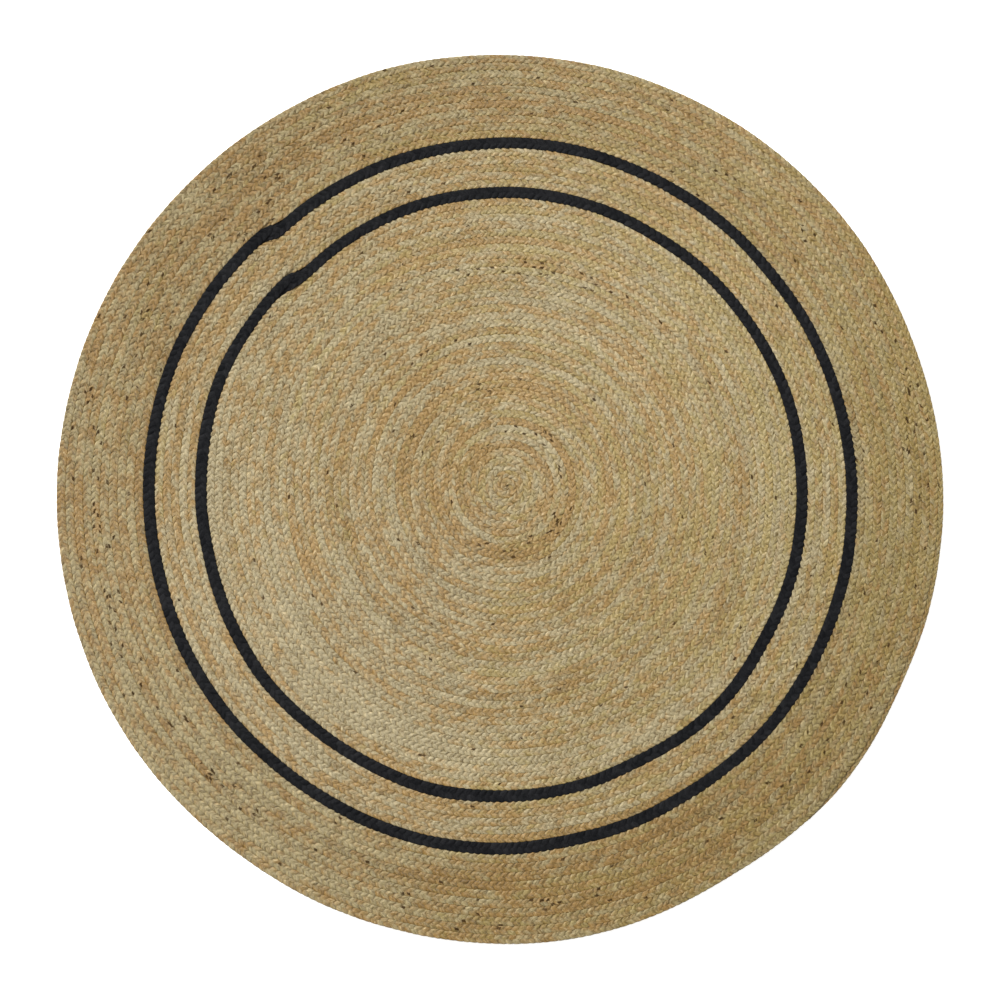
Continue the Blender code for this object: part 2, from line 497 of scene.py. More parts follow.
def strip_across(i):
    """The weave's coordinate across at both edges of the strip from column i to the next one."""
    first, last = SECTION[i][0], SECTION[(i + 1) % len(SECTION)][0]
    if i == len(SECTION) - 3:  # the right side counts on past 1
        return first, 2 - last
    if i == len(SECTION) - 2:  # the underside has numbers of its own
        return UNDERSIDE + first, UNDERSIDE + last
    if i == len(SECTION) - 1:  # the left side counts on past -1
        return -2 - first, last
    return first, last


def add_strips(mesh, rings):
    """Joins the rings of points with faces, and sets both maps on the faces' corners."""
    weave = mesh.loops.layers.uv.new("weave")
    tile = mesh.loops.layers.uv.new("OFBake")
    tile_start = 0.0
    for i in range(len(SECTION)):
        after = (i + 1) % len(SECTION)
        across, tile_share = strip_across(i), SECTION[after][3]
        for step in range(STEPS):
            a, b = rings[step], rings[step + 1]
            face = mesh.faces.new((a[i], b[i], b[after], a[after]))
            corners = ((step, 0), (step + 1, 0), (step + 1, 1), (step, 1))
            for loop, (along, side) in zip(face.loops, corners):
                loop[weave].uv = (along / STEPS, across[side])
                loop[tile].uv = (along / STEPS, tile_start + side * tile_share)
        tile_start += tile_share


def mark_creases(mesh, rings):
    """Sharp edges lie in the creases between lobes and along the middle, where strands part."""
    for i in range(MIDDLE):
        for ring, shift in ((0, 0), (STEPS, 0), (STEPS // 2, MIDDLE)):
            crease = (rings[ring][i + shift], rings[ring][i + shift + 1])
            mesh.edges.get(crease).smooth = False
    for step in range(STEPS):
        mesh.edges.get((rings[step][MIDDLE], rings[step + 1][MIDDLE])).smooth = False


def plait_mesh():
    """One plait with its maps, open at both ends, where the next ones join it."""
    mesh = bmesh.new()
    rings = []
    for step in range(STEPS + 1):
        points = [section_point(i, step / STEPS) for i in range(len(SECTION))]
        rings.append([mesh.verts.new(point) for point in points])
    add_strips(mesh, rings)
    mark_creases(mesh, rings)
    bmesh.ops.recalc_face_normals(mesh, faces=mesh.faces)
    for face in mesh.faces:
        face.smooth = True
    made = bpy.data.meshes.new("plait")
    mesh.to_mesh(made)
    mesh.free()
    return made


plait = bpy.data.objects.new("plait", plait_mesh())
bpy.context.scene.collection.objects.link(plait)
print(f"one plait has {2 * len(plait.data.polygons)} triangles")

# %% [markdown]
# ## Formulas as nodes
#
# Both the braid and its finish are formulas, and as bare nodes they would be hard to read. Two
# small classes add the nodes to a tree, and let numbers be added and multiplied in plain
# Python, each sign becoming one Math node.

# %% Numbers of a node tree


class Number:
    """One number of a node tree. Arithmetic on it adds Math nodes."""

    def __init__(self, wiring, socket):
        self.wiring, self.socket = wiring, socket

    def __add__(self, other):
        return self.wiring.maths("ADD", self, other)

    __radd__ = __add__

    def __sub__(self, other):
        return self.wiring.maths("SUBTRACT", self, other)

    def __rsub__(self, other):
        return self.wiring.maths("SUBTRACT", other, self)

    def __mul__(self, other):
        return self.wiring.maths("MULTIPLY", self, other)

    __rmul__ = __mul__

    def __truediv__(self, other):
        return self.wiring.maths("DIVIDE", self, other)

    def __pow__(self, other):
        return self.wiring.maths("POWER", self, other)

    def __mod__(self, other):
        return self.wiring.maths("FLOORED_MODULO", self, other)

    def __gt__(self, other):
        return self.wiring.maths("GREATER_THAN", self, other)

    def floor(self):
        return self.wiring.maths("FLOOR", self)

    def size(self):
        return self.wiring.maths("ABSOLUTE", self)

    def ramp(self, low, high, to_low=0.0, to_high=1.0):
        """This number from low to high, smoothly mapped to another range and kept in it."""
        places = {
            "Value": self,
            "From Min": low,
            "From Max": high,
            "To Min": to_low,
            "To Max": to_high,
        }
        made = self.wiring.add("ShaderNodeMapRange", places, interpolation_type="SMOOTHSTEP")
        return Number(self.wiring, made.outputs["Result"])


# %% Nodes, and the links between them


class Wiring:
    """Adds nodes to one tree and joins them."""

    def __init__(self, tree):
        self.tree = tree

    def join(self, value, socket):
        if isinstance(value, Number):
            value = value.socket
        if isinstance(value, bpy.types.NodeSocket):
            self.tree.links.new(value, socket)
        else:
            socket.default_value = value

    def add(self, kind, places=None, **settings):
        made = self.tree.nodes.new(kind)
        for name, value in settings.items():
            setattr(made, name, value)
        for place, value in (places or {}).items():
            self.join(value, made.inputs[place])
        return made

    def maths(self, operation, *values):
        made = self.add("ShaderNodeMath", dict(enumerate(values)), operation=operation)
        return Number(self, made.outputs[0])

    def vector(self, x, y, z=0.0):
        return self.add("ShaderNodeCombineXYZ", {"X": x, "Y": y, "Z": z}).outputs[0]

    def parts(self, vector):
        made = self.add("ShaderNodeSeparateXYZ", {0: vector})
        return [Number(self, out) for out in made.outputs]

    def noise(self, vector, detail=0.0, roughness=0.5, scale=1.0):
        """Smooth noise from about 0 to 1, with its mean at one half."""
        places = {"Vector": vector, "Scale": scale, "Detail": detail, "Roughness": roughness}
        return Number(self, self.add("ShaderNodeTexNoise", places).outputs[0])

    def random(self, vector):
        """An even random number from 0 to 1 for each whole place."""
        made = self.add("ShaderNodeTexWhiteNoise", {"Vector": vector}, noise_dimensions="3D")
        return Number(self, made.outputs["Value"])

    def attribute(self, name, kind):
        """A named attribute of the geometry, as a field."""
        made = self.add("GeometryNodeInputNamedAttribute", {"Name": name}, data_type=kind)
        return made.outputs[0]

    def store(self, geometry, name, value, kind, domain):
        """Stores a field on the geometry under a name."""
        made = self.add("GeometryNodeStoreNamedAttribute", data_type=kind, domain=domain)
        for place, given in (("Geometry", geometry), ("Name", name), ("Value", value)):
            self.join(given, made.inputs[place])
        return made.outputs[0]

    def mix(self, share, first, second):
        """A colour between two others."""
        made = self.add("ShaderNodeMix", data_type="RGBA")
        for place, value in ((0, share), (6, first), (7, second)):
            self.join(value, made.inputs[place])
        return made.outputs[2]


# %% [markdown]
# ## Braiding along a path
#
# The tree sets out one point for each plait, puts the plait's mesh on every point and makes the
# copies real. That is a straight braid in loom units. Then one Set Position node slants the
# lobes, makes them a little uneven, and lays the braid along its path. The same tree makes all
# the lengths, because everything that differs is an input.

# %% How loose and slanted the braid is
SLANT = 0.34  # plaits by which a lobe's outer end trails its inner one
SLANT_CURVE = 1.20  # the strands turn along the row as they near its edge
END_ROOM = 0.4  # plaits left free at each end of a path
PITCH_JITTER = 0.35  # of a plait; less than the room at the ends
HEIGHT_JITTER = 0.13  # of the braid's height
SIDE_JITTER = 0.16  # of half a row
WOBBLE = 0.12  # of a plait along, and of half a row across: no two lobes are alike
# How quickly each of these changes, for each plait along and each half row across
PITCH_PLAITS = 3.1
HEIGHT_CHANGE = (1.15, 1.2)
SIDE_CHANGE = 0.9
WOBBLE_CHANGE = (2.3, 1.7)
MERGE_DISTANCE = 0.0005  # in loom units

INPUTS = (
    ("First plait", "NodeSocketInt"),
    ("Plaits", "NodeSocketInt"),
    ("Pitch", "NodeSocketFloat"),
    ("Seed", "NodeSocketFloat"),
    ("Tiles across", "NodeSocketFloat"),
    ("Tiles up", "NodeSocketFloat"),
    ("Plait", "NodeSocketObject"),
    ("Path", "NodeSocketObject"),
    ("Finish", "NodeSocketMaterial"),
)

# %% The straight braid, with its maps


def straight_braid(w, given):
    """The plaits in a line, joined, with both maps stored on their faces' corners."""
    line = {
        "Count": given["Plaits"],
        "Start Location": w.vector(given["First plait"], 0.0),
        "Offset": (1.0, 0.0, 0.0),
    }
    spots = w.add("GeometryNodeMeshLine", line, mode="OFFSET").outputs[0]
    one = w.add("GeometryNodeObjectInfo", {"Object": given["Plait"]}).outputs["Geometry"]
    copies = w.add("GeometryNodeInstanceOnPoints", {"Points": spots, "Instance": one}).outputs[0]
    braid = w.add("GeometryNodeRealizeInstances", {"Geometry": copies}).outputs[0]

    # A face's middle says which plait it belongs to
    along = w.parts(w.add("GeometryNodeInputPosition").outputs[0])[0]
    faces = {"domain": "FACE", "data_type": "FLOAT"}
    on_face = w.add("GeometryNodeFieldOnDomain", {0: along.floor()}, **faces)
    plait_number = Number(w, on_face.outputs[0])
    place = plait_number - Number(w, given["First plait"])
    tiles_across, tiles_up = Number(w, given["Tiles across"]), Number(w, given["Tiles up"])

    phase, around, _ = w.parts(w.attribute("weave", "FLOAT_VECTOR"))
    weave = w.vector(plait_number + phase, around)
    braid = w.store(braid, "weave", weave, "FLOAT2", "CORNER")
    phase, around, _ = w.parts(w.attribute("OFBake", "FLOAT_VECTOR"))
    row = (place / tiles_across).floor()
    tile_along = (place % tiles_across + phase) / tiles_across
    tile = w.vector(tile_along, (row + around) / tiles_up)
    braid = w.store(braid, "OFBake", tile, "FLOAT2", "CORNER")
    joined = {"Geometry": braid, "Distance": MERGE_DISTANCE}
    return w.add("GeometryNodeMergeByDistance", joined).outputs[0]


# %% Bend it along its path


def lay_along(w, given, braid):
    """Slants the lobes, makes them a little uneven, and lays the braid along its path."""
    seed = Number(w, given["Seed"])
    along, across, up = w.parts(w.add("GeometryNodeInputPosition").outputs[0])

    def chance(*place):
        """Smooth noise from about -0.5 to 0.5."""
        return w.noise(w.vector(*place)) - 0.5

    # Plaits drift along the row, lobes differ in height, and the zigzag wanders
    drift = chance(along / PITCH_PLAITS, seed)
    swell = chance(along * HEIGHT_CHANGE[0], across * HEIGHT_CHANGE[1], seed + 11.0)
    lean = chance(along * SIDE_CHANGE, seed + 23.0)
    uneven_along = along + 2 * PITCH_JITTER * drift
    uneven_up = up * (1 + 2 * HEIGHT_JITTER * swell)
    uneven_across = across + 2 * SIDE_JITTER * lean * (1 - across * across)

    def wobble(number):
        place = (along * WOBBLE_CHANGE[0], across * WOBBLE_CHANGE[1], seed + number)
        return 2 * WOBBLE * chance(*place)

    uneven_along = uneven_along + wobble(31.0)
    uneven_across = uneven_across + wobble(37.0) * (1 - across * across)

    trailing = SLANT * (1 - across.size() ** SLANT_CURVE)
    distance = (uneven_along + trailing + END_ROOM) * Number(w, given["Pitch"])
    path = w.add("GeometryNodeObjectInfo", {"Object": given["Path"]}).outputs["Geometry"]
    curve = w.add("GeometryNodeMeshToCurve", {"Mesh": path}).outputs[0]

    def sampled(name):
        """The path's place and one of its attributes, at this distance along it."""
        places = {"Curves": curve, "Length": distance}
        kind = {"mode": "LENGTH", "data_type": "FLOAT_VECTOR", "use_all_curves": True}
        made = w.add("GeometryNodeSampleCurve", places, **kind)
        w.join(w.attribute(name, "FLOAT_VECTOR"), made.inputs["Value"])
        return made.outputs

    row = sampled("half_row")
    x, y, _ = w.parts(row["Position"])
    half_x, half_y, high = w.parts(row["Value"])
    braid = w.store(braid, "batch", sampled("batch")["Value"], "FLOAT_VECTOR", "POINT")
    here = w.vector(x + uneven_across * half_x, y + uneven_across * half_y, uneven_up * high)
    return w.add("GeometryNodeSetPosition", {"Geometry": braid, "Position": here}).outputs[0]


# %% Make the tree


def braiding_tree():
    """The tree, and the identifiers of its inputs by name."""
    tree = bpy.data.node_groups.new("braid_along_path", "GeometryNodeTree")
    sockets = {}
    for name, kind in (("Geometry", "NodeSocketGeometry"), *INPUTS):
        socket = tree.interface.new_socket(name, in_out="INPUT", socket_type=kind)
        sockets[name] = socket.identifier
    tree.interface.new_socket("Geometry", in_out="OUTPUT", socket_type="NodeSocketGeometry")
    w = Wiring(tree)
    given = w.add("NodeGroupInput").outputs
    braid = lay_along(w, given, straight_braid(w, given))
    # Nothing is left as an instance here, because all the copies were joined
    real = w.add("GeometryNodeRealizeInstances", {"Geometry": braid}).outputs[0]
    finished = w.add("GeometryNodeSetMaterial", {"Geometry": real, "Material": given["Finish"]})
    w.join(finished.outputs[0], w.add("NodeGroupOutput").inputs[0])
    return tree, sockets


braiding, braiding_sockets = braiding_tree()
print(f"the braiding tree has {len(braiding.nodes)} nodes and {len(INPUTS)} inputs")

# %% [markdown]
# ## The finish of natural jute
#
# Jute is straw-coloured and silky, and every handful of fibre has its own tone: pale straw,
# gold or orange-brown, with dark scraps of bark. In a braid, a handful runs along one strand,
# so the same tone comes back every third lobe. The weave's map makes that easy to follow: the
# lobe's number gives the strand, and the place within a lobe gives the fibres' direction. The
# pattern lies on the rug, not in space, so it bends with every row.

# %% Where a point lies in the weave
STRANDS = 3


def weave_places(w):
    """The side, number, strand and inner coordinates of the lobe that a point lies on."""
    u, v, _ = w.parts(w.add("ShaderNodeUVMap", uv_map="weave").outputs[0])
    across = v - UNDERSIDE * (v > UNDERSIDE / 2)
    right = across > 0.0
    place = u + 0.5 * right
    lobe = place.floor()
    crossing = 2 * lobe + 1 - right
    over = place - lobe
    yarn = (over * 2).floor()
    return {
        "u": u,
        "across": across,
        "out": across.size(),
        "over": over,  # 0 and 1 in the creases between lobes
        "crossing": crossing,
        "strand": crossing % STRANDS,
        "yarn": yarn,  # a strand shows two yarns side by side, numbers 0 and 1
        "in_yarn": ((over * 2 - yarn) - 0.5).size() * 2,  # 0 on a yarn's crest, 1 at its sides
    }


# %% The yarns of a strand, and their fibres
YARN_TWIST = 0.25  # lobes by which a yarn turns, from the middle of the row to its edge
FIBRES = (4.0, 2.0)  # the scale of their noise, for each lobe along and each half row across
LOBE_SPACING = 0.731  # between lobes in that noise, so no two have the same fibres
YARN_SIDE_RELIEF_AND_SHADE = 0.15  # how much lower a yarn's sides are than its crest, and how much painted shade darkens them
FIBRE_RELIEF, FUZZ_RELIEF = 0.8, 0.3  # shares of the bump's height
FUZZ = 1400.0  # the scale of its noise, for each metre
BUMP_HEIGHT, BUMP_STRENGTH = 0.0012, 0.8
DULL, SILKY = 0.75, 0.58  # the roughness of deep and of raised fibres


def yarn_pattern(w, at, seed):
    """A random tone for each yarn of each lobe, and the fibres along it, both from 0 to 1."""
    tone = w.random(w.vector(at["crossing"], at["yarn"], seed))
    turned = (at["over"] + YARN_TWIST * at["out"]) * FIBRES[0]
    place = w.vector(turned, at["out"] * FIBRES[1], at["crossing"] * LOBE_SPACING + seed)
    return tone, w.noise(place, detail=3, roughness=0.7)


def rough_surface(w, at, shader, fibres):
    """Yarns are round and their fibres stand up a little."""
    fuzz = w.noise(w.add("ShaderNodeTexCoord").outputs["Object"], detail=2, scale=FUZZ)
    relief = fibres * FIBRE_RELIEF + fuzz * FUZZ_RELIEF - at["in_yarn"] ** 2 * YARN_SIDE_RELIEF_AND_SHADE
    bump = {"Height": relief, "Distance": BUMP_HEIGHT, "Strength": BUMP_STRENGTH}
    w.join(w.add("ShaderNodeBump", bump).outputs[0], shader.inputs["Normal"])
    w.join(fibres.ramp(0.2, 0.8, DULL, SILKY), shader.inputs["Roughness"])
    # Fibres shine across their length: they lie along a lobe, so the sheen spreads along the row
    along_row = w.add("ShaderNodeTangent", direction_type="UV_MAP", uv_map="weave").outputs[0]
    w.join(along_row, shader.inputs["Tangent"])
    shader.inputs["Anisotropic"].default_value = 1.0


# %% How far one tone of fibre runs on
# Scales of noise: the smaller one is, the longer a tone runs on
LONG_RUN = 0.013  # for each plait
SHORT_RUN = 0.06  # for each plait
STRAND_RUN = 0.08  # for each crossing
STRAND_SPACING = 7.3  # between the strands in that noise, so that they differ
PATCH = (0.48, 0.5)  # for each plait along, and for each half row across
LOBE = (0.77, 1.5)  # for each crossing, and within its lobe
SHORT_SHARE, PATCH_SHARE, LOBE_SHARE = 1.1, 0.9, 0.3  # of the contrast of the long runs


def tone_runs(w, at, seed, number):
    """Fibre of one tone runs on for decimetres, and the three strands differ; 0 is the mean."""
    long = w.noise(w.vector(at["u"] * LONG_RUN, seed + number))
    short = w.noise(w.vector(at["u"] * SHORT_RUN, seed + number, 5.0), detail=2)
    place = (at["crossing"] * STRAND_RUN, at["strand"] * STRAND_SPACING + seed, number)
    strand = w.noise(w.vector(*place), detail=2)
    return (long - 0.5) + (short - 0.5) * SHORT_SHARE + (strand - 0.5)


def tone_patches(w, at, seed, number):
    """Here and there a few plaits, or a single lobe, have another tone; 0 is the mean."""
    place = w.vector(at["u"] * PATCH[0], at["across"] * PATCH[1] + number, seed)
    patch = (w.noise(place) - 0.5) * PATCH_SHARE
    in_lobe = (at["over"] * LOBE[1] + number, at["out"] * LOBE[1])
    lobe = w.noise(w.vector(at["crossing"] * LOBE[0] + seed, *in_lobe))
    return patch + (lobe - 0.5) * LOBE_SHARE


# %% Scraps of bark
SCRAPS_GATHER = (0.45, 0.75, 0.05, 1.0)  # from few to many, as the noise of short runs rises
SCRAP_NEAREST, SCRAP_SPREAD = 0.2, 0.6  # of the way from the row's middle to its edge
SCRAP_LENGTH = (0.18, 0.40)  # half a scrap, solid and in all, as shares of half a row
SCRAP_UNDER = (0.72, 0.55)  # fibres higher than this lie over a scrap


def bark_scraps(w, at, seed, share, batch_share, tone, fibres):
    """1 on a scrap: they lie in a few yarns, often several near each other in one row."""
    gathered = w.noise(w.vector(at["u"] * SHORT_RUN, seed + 83.0), detail=2)
    limit = 1 - share * gathered.ramp(*SCRAPS_GATHER) - batch_share
    chosen = w.random(w.vector(at["crossing"], at["yarn"], seed + 5.0)) > limit
    from_middle = (at["out"] - SCRAP_NEAREST - SCRAP_SPREAD * tone).size()
    scrap = chosen * from_middle.ramp(*SCRAP_LENGTH, 1.0, 0.0)
    return scrap * fibres.ramp(*SCRAP_UNDER)


# %% Mix the tones of natural jute
HUE_NOISE, GOLD_NOISE, LIGHT_NOISE = 3.0, 15.0, 9.0  # apart, so the three vary on their own
HANDFUL_CONTRAST = 1.7
LIGHT_RUNS, LIGHT_YARNS, LIGHT_FIBRES = 0.35, 0.3, 2.6  # how much each one adds to lightness
PAINTED_CREASE_SHADE = 0.10  # and how much painted shade a crease takes away
PAINTED_SIDE_LIGHT = 0.105  # painted light: more at the rim on the upper right and the lower left, less on the other two
PAINTED_SHEEN_SIDE = (-0.62, -0.79)  # the direction of the painted sheen from the middle
PAINTED_SHEEN_FROM = 0.80  # the cosine of the angle at which the painted sheen ends
PALER_FROM = 0.2  # metres from the middle
# What is added for each metre to the right, where the painted sheen greys the rug, and in a tan
# batch
TAN_SHIFT = (0.06, -0.12, 0.5)
GOLDEN_SHIFT = (0.6, -0.5, 0.0)
LIGHT_SHIFT = (0.03, -0.06, -0.06)
GOLDEN_MOST = 0.7  # the largest share of golden fibre
BARK_COVER = 0.92
SHEEN, BARK_SHEEN = 0.9, 0.05  # specular levels


def new_finish(name):
    """An empty finish, with its wiring and its shader."""
    finish = bpy.data.materials.new(name)
    finish.use_nodes = True
    return finish, Wiring(finish.node_tree), finish.node_tree.nodes["Principled BSDF"]


def natural_jute(name, seed, tones, flecks, lighter=0.0, paler_outward=0.0):
    """tones are the linear colours of straw, tan and golden fibre, a pale tone for lighter fibre
    and painted highlights, a dark one for darker fibre and painted shade, and bark.
    """
    straw, tan, golden, pale_tone_and_painted_highlight, dark_tone_and_painted_shade, bark = tones
    finish, w, shader = new_finish(name)
    at = weave_places(w)
    tone, fibres = yarn_pattern(w, at, seed)
    batch = w.add("ShaderNodeAttribute", attribute_name="batch").outputs["Vector"]
    batch_tan, batch_flecks, _ = w.parts(batch)

    # Painted light by side, strongest toward the rim, and a painted sheen that greys the lower
    # left
    x, y, _ = w.parts(w.add("ShaderNodeTexCoord").outputs["Object"])
    radius = (x * x + y * y) ** 0.5
    painted_light_by_side = 2 * x * y / radius
    # painted sheen: the fibre is greyer toward the lower left
    toward_painted_sheen = (x * PAINTED_SHEEN_SIDE[0] + y * PAINTED_SHEEN_SIDE[1]) / radius
    painted_sheen = toward_painted_sheen.ramp(PAINTED_SHEEN_FROM, 1.0)

    def shift(shares):
        """What the place on the rug and its batch add."""
        return x * shares[0] + painted_sheen * shares[1] + batch_tan * shares[2]

    def handfuls(number):
        """The tone of the fibre, with 0 as its mean."""
        runs, patches = (make(w, at, seed, number) for make in (tone_runs, tone_patches))
        return (runs + patches) * HANDFUL_CONTRAST

    hue = handfuls(HUE_NOISE) + shift(TAN_SHIFT) - (radius - PALER_FROM) * paler_outward
    colour = w.mix((hue + 0.5).ramp(0.05, 0.95), straw, tan)
    gold = (handfuls(GOLD_NOISE) + shift(GOLDEN_SHIFT)).ramp(-0.1, 0.7)
    colour = w.mix(gold * GOLDEN_MOST, colour, golden)

    # Lightness from random tones, with painted light by side and painted shade in creases and on
    # yarn sides
    # Painted shade: 1 in the creases between lobes, 0 on their crests
    crease = ((at["over"] - 0.5).size() * 2) ** 3
    light = tone_runs(w, at, seed, LIGHT_NOISE) * LIGHT_RUNS + (tone - 0.5) * LIGHT_YARNS
    # painted light by side, from the rug's place, is added to the lightness here
    light = light + (fibres - 0.5) * LIGHT_FIBRES + shift(LIGHT_SHIFT) + painted_light_by_side * PAINTED_SIDE_LIGHT
    # painted shade in the creases and on the sides of yarns is taken from the lightness here
    light = light - crease * PAINTED_CREASE_SHADE - at["in_yarn"] ** 2 * YARN_SIDE_RELIEF_AND_SHADE + lighter
    # Painted highlight: raised fibres are mixed toward the pale tone; low lightness goes toward
    # the dark tone, as painted shade
    colour = w.mix(light.ramp(0.0, 0.8), colour, pale_tone_and_painted_highlight)
    colour = w.mix((0.1 - light).ramp(0.0, 0.9), colour, dark_tone_and_painted_shade)

    scrap = bark_scraps(w, at, seed, flecks, batch_flecks, tone, fibres)
    w.join(w.mix(scrap * BARK_COVER, colour, bark), shader.inputs["Base Color"])
    w.join(SHEEN - scrap * (SHEEN - BARK_SHEEN), shader.inputs["Specular IOR Level"])
    rough_surface(w, at, shader, fibres)
    return finish


# %% [markdown]
# ## The finish of dyed jute
#
# The black turns are the same fibre, dyed through to a blue-black. Dye evens the tones out, so
# only the fibres' relief and a faint difference between strands are left.

# %% Mix the tones of dyed jute
DYED_RUN = 0.12  # the scale of the noise along a strand, for each crossing
DYED_SHEEN = 0.08


def dyed_jute(name, seed, black, worn):
    """black and worn are the linear colours of deep and of raised fibre."""
    finish, w, shader = new_finish(name)
    at = weave_places(w)
    tone, fibres = yarn_pattern(w, at, seed)
    place = w.vector(at["crossing"] * DYED_RUN, at["strand"] * STRAND_SPACING + seed)
    wear = fibres * 0.6 + w.noise(place, detail=2) * 0.6 + tone * 0.1
    w.join(w.mix(wear.ramp(0.45, 1.0), black, worn), shader.inputs["Base Color"])
    shader.inputs["Specular IOR Level"].default_value = DYED_SHEEN
    rough_surface(w, at, shader, fibres)
    return finish


# %% Make the finishes
# Linear colours: straw, tan, golden, pale with painted highlight, dark with painted shade, and
# bark
FIELD_TONES = (
    (0.380, 0.315, 0.176, 1),
    (0.335, 0.202, 0.062, 1),
    (0.325, 0.248, 0.075, 1),
    (0.630, 0.505, 0.285, 1),
    (0.125, 0.076, 0.013, 1),
    (0.050, 0.027, 0.012, 1),
)
BORDER_TONES = (
    (0.320, 0.256, 0.124, 1),
    (0.278, 0.160, 0.042, 1),
    (0.268, 0.198, 0.050, 1),
    (0.545, 0.422, 0.212, 1),
    (0.098, 0.058, 0.008, 1),
    (0.040, 0.021, 0.009, 1),
)
BLACK = (0.0060, 0.0064, 0.0074, 1)
WORN_BLACK = (0.0225, 0.0225, 0.0240, 1)
FEW_FLECKS, MORE_FLECKS = 0.012, 0.04

finishes = {
    "field": natural_jute(
        "field_jute", 1.0, FIELD_TONES, FEW_FLECKS, lighter=-0.010, paler_outward=0.7
    ),
    "band": natural_jute("band_jute", 3.0, FIELD_TONES, FEW_FLECKS, lighter=-0.048),
    "border": natural_jute("border_jute", 5.0, BORDER_TONES, MORE_FLECKS, lighter=-0.008),
    "black": dyed_jute("black_dyed_jute", 9.0, BLACK, WORN_BLACK),
}
print(f"{len(finishes)} finishes: {', '.join(finishes)}")

# %% [markdown]
# ## Braid the lengths
#
# The field and the border have too many lobes for one mesh, so each is made in pieces: the same
# path and the same count of plaits, from one plait number to the next. A piece's two cut ends
# are closed with a face, and a sharp edge keeps that face from shading the rest.

# %% Braid one piece
TILE_SHAPE = 3.2  # a tile is this much longer round the braid than along it


def braid_piece(name, path, first, count, pitch, seed, finish):
    """Runs the tree on an empty object and keeps the result as a plain mesh."""
    tiles_up = max(math.floor(math.sqrt(count / TILE_SHAPE)), 1)
    values = {
        "First plait": first,
        "Plaits": count,
        "Pitch": pitch,
        "Seed": seed,
        "Tiles across": float(math.ceil(count / tiles_up)),
        "Tiles up": float(tiles_up),
        "Plait": plait,
        "Path": path,
        "Finish": finish,
    }
    carrier = bpy.data.objects.new(name + "_nodes", bpy.data.meshes.new(name + "_nodes"))
    bpy.context.scene.collection.objects.link(carrier)
    modifier = carrier.modifiers.new("braid", "NODES")
    modifier.node_group = braiding
    for socket, value in values.items():
        modifier[braiding_sockets[socket]] = value
    evaluated = carrier.evaluated_get(bpy.context.evaluated_depsgraph_get())
    mesh = bpy.data.meshes.new_from_object(evaluated)
    bpy.data.objects.remove(carrier)
    close_ends(mesh)
    mesh.name = name
    piece = bpy.data.objects.new(name, mesh)
    bpy.context.scene.collection.objects.link(piece)
    return piece


def close_ends(mesh):
    """Fills both cut ends of a piece, with a sharp edge round each."""
    shape = bmesh.new()
    shape.from_mesh(mesh)
    rim = [edge for edge in shape.edges if edge.is_boundary]
    for edge in rim:
        edge.smooth = False
    bmesh.ops.holes_fill(shape, edges=rim, sides=0)
    bmesh.ops.recalc_face_normals(shape, faces=shape.faces)
    shape.to_mesh(mesh)
    shape.free()


# %% Braid them all
SEED_STEP = 13.0  # between the lengths, so each is uneven in its own way
FIELD_PIECES = ("field_first_turns", "field_middle_turns", "field_last_turns")
BORDER_PIECES = ("border_first_turns", "border_last_turns")
# Each length: the frame's node, its finish, its slot, the length of a plait, and its pieces
LENGTHS = (
    ("centre_field", "field", "natural_jute", 0.0092, FIELD_PIECES),
    ("inner_black_ring", "black", "black_jute", 0.0099, ("inner_black_braid",)),
    ("middle_band", "band", "natural_jute", 0.0100, ("band_braid",)),
    ("outer_black_ring", "black", "black_jute", 0.0099, ("outer_black_braid",)),
    ("outer_border", "border", "natural_jute", 0.0098, BORDER_PIECES),
)

pieces = []
for number, (node, finish, slot, usual_pitch, names) in enumerate(LENGTHS):
    path, seed = paths[node], SEED_STEP * number
    plaits = round(path["length"] / usual_pitch - SLANT - 2 * END_ROOM)
    pitch = path["length"] / (plaits + SLANT + 2 * END_ROOM)
    starts = [round(plaits * i / len(names)) for i in range(len(names) + 1)]
    for name, first, end in zip(names, starts, starts[1:]):
        piece = braid_piece(name, path, first, end - first, pitch, seed, finishes[finish])
        pieces.append((piece, node, slot, (end - first) * pitch))
        triangles = sum(len(face.vertices) - 2 for face in piece.data.polygons)
        print(f"{name}: {end - first} plaits of {pitch * 1000:.2f} mm, {triangles} triangles")

for helper in (plait, *paths.values()):
    bpy.data.objects.remove(helper)

# %% [markdown]
# ## Put each piece on the rug's body
#
# Every piece rides on the rug's one body and stands for the solid of its colour, which is hidden.
# A braid is a narrow flat textile.

# %% Ride and replace
for piece, node, slot, length in pieces:
    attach(piece, "root")
    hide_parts(node)
print(f"{len(pieces)} pieces of braid ride on the rug's body")

# %% [markdown]
# ## Floor, light and camera
#
# The rug is seen from straight above on a white ground, in soft light that leaves no shadow
# there. A bright world gives much of that light, a broad lamp far off to the upper left shapes
# the lobes, and a weak one overhead fills them. The floor glows a little, as a light table
# does, so the rug's own shadow doesn't show on it.

# %% Lay the floor
FLOOR_SIZE = 8.0
FLOOR_GAP = 0.0003  # below the braid's underside
FLOOR_COLOUR = (0.95, 0.95, 0.95, 1)
FLOOR_ROUGHNESS = 0.9
FLOOR_GLOW = 0.5
WHITE = (1.0, 1.0, 1.0, 1)


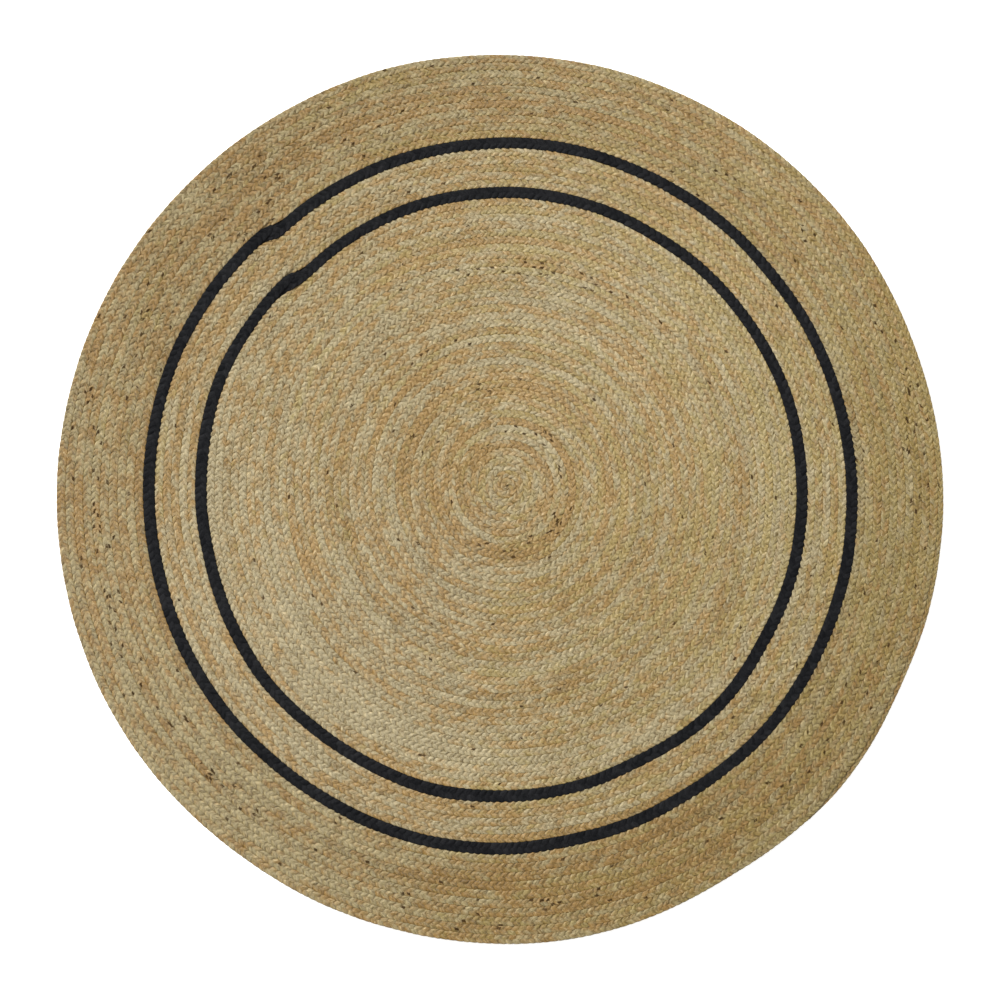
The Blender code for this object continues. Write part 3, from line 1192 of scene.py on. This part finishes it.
def make_floor():
    """A white square under the rug."""
    mesh = bpy.data.meshes.new("floor")
    half = FLOOR_SIZE / 2
    corners = [(-half, -half), (half, -half), (half, half), (-half, half)]
    mesh.from_pydata([(x, y, -FLOOR_GAP) for x, y in corners], [], [(0, 1, 2, 3)])
    floor = bpy.data.objects.new("floor", mesh)
    bpy.context.scene.collection.objects.link(floor)
    paint = bpy.data.materials.new("pale_floor")
    paint.use_nodes = True
    shader = paint.node_tree.nodes["Principled BSDF"]
    shader.inputs["Base Color"].default_value = FLOOR_COLOUR
    shader.inputs["Roughness"].default_value = FLOOR_ROUGHNESS
    shader.inputs["Emission Color"].default_value = WHITE
    shader.inputs["Emission Strength"].default_value = FLOOR_GLOW
    mesh.materials.append(paint)


make_floor()
print(f"the floor is {FLOOR_SIZE:.0f} m wide")

# %% Light the rug
# Each lamp's place and its width in metres, and its power in watts
LAMPS = {
    "top_lamp": ((0.0, 0.3, 3.6), 2.0, 20.0),
    "side_lamp": ((-7.8, 7.8, 9.0), 5.6, 2160.0),
}
WORLD_STRENGTH = 0.55


def make_lamp(name, place, size, power):
    """A round lamp that points at the middle of the rug."""
    lamp = bpy.data.lights.new(name, "AREA")
    lamp.shape = "DISK"
    lamp.size = size
    lamp.energy = power
    holder = bpy.data.objects.new(name, lamp)
    holder.location = place
    holder.rotation_euler = (-Vector(place)).to_track_quat("-Z", "Y").to_euler()
    bpy.context.scene.collection.objects.link(holder)
    print(f"{name}: {Vector(place).length:.1f} m from the rug's middle")


for name, lamp in LAMPS.items():
    make_lamp(name, *lamp)
world = bpy.data.worlds.new("studio")
world.use_nodes = True
sky = world.node_tree.nodes["Background"]
sky.inputs["Color"].default_value = WHITE
sky.inputs["Strength"].default_value = WORLD_STRENGTH
bpy.context.scene.world = world
bpy.context.scene.view_settings.view_transform = "Standard"

# %% Point the camera straight down
PICTURE_SIDE = 1000  # pixels
RUG_RADIUS_IN_PICTURE = 443.4  # pixels
RUG_MIDDLE_IN_PICTURE = (500.0, 498.5)  # pixels, from the upper left corner
CAMERA_HEIGHT = 3.0

pixel = RUG_RADIUS / RUG_RADIUS_IN_PICTURE
camera = bpy.data.cameras.new("camera")
camera.lens = camera.sensor_width * (CAMERA_HEIGHT - BRAID_HEIGHT) / (PICTURE_SIDE * pixel)
viewer = bpy.data.objects.new("camera", camera)
centre = PICTURE_SIDE / 2
viewer.location = (
    (centre - RUG_MIDDLE_IN_PICTURE[0]) * pixel,
    (RUG_MIDDLE_IN_PICTURE[1] - centre) * pixel,
    CAMERA_HEIGHT,
)
bpy.context.scene.collection.objects.link(viewer)
bpy.context.scene.camera = viewer
print(f"one pixel of the picture is {pixel * 1000:.3f} mm, lens {camera.lens:.1f} mm")
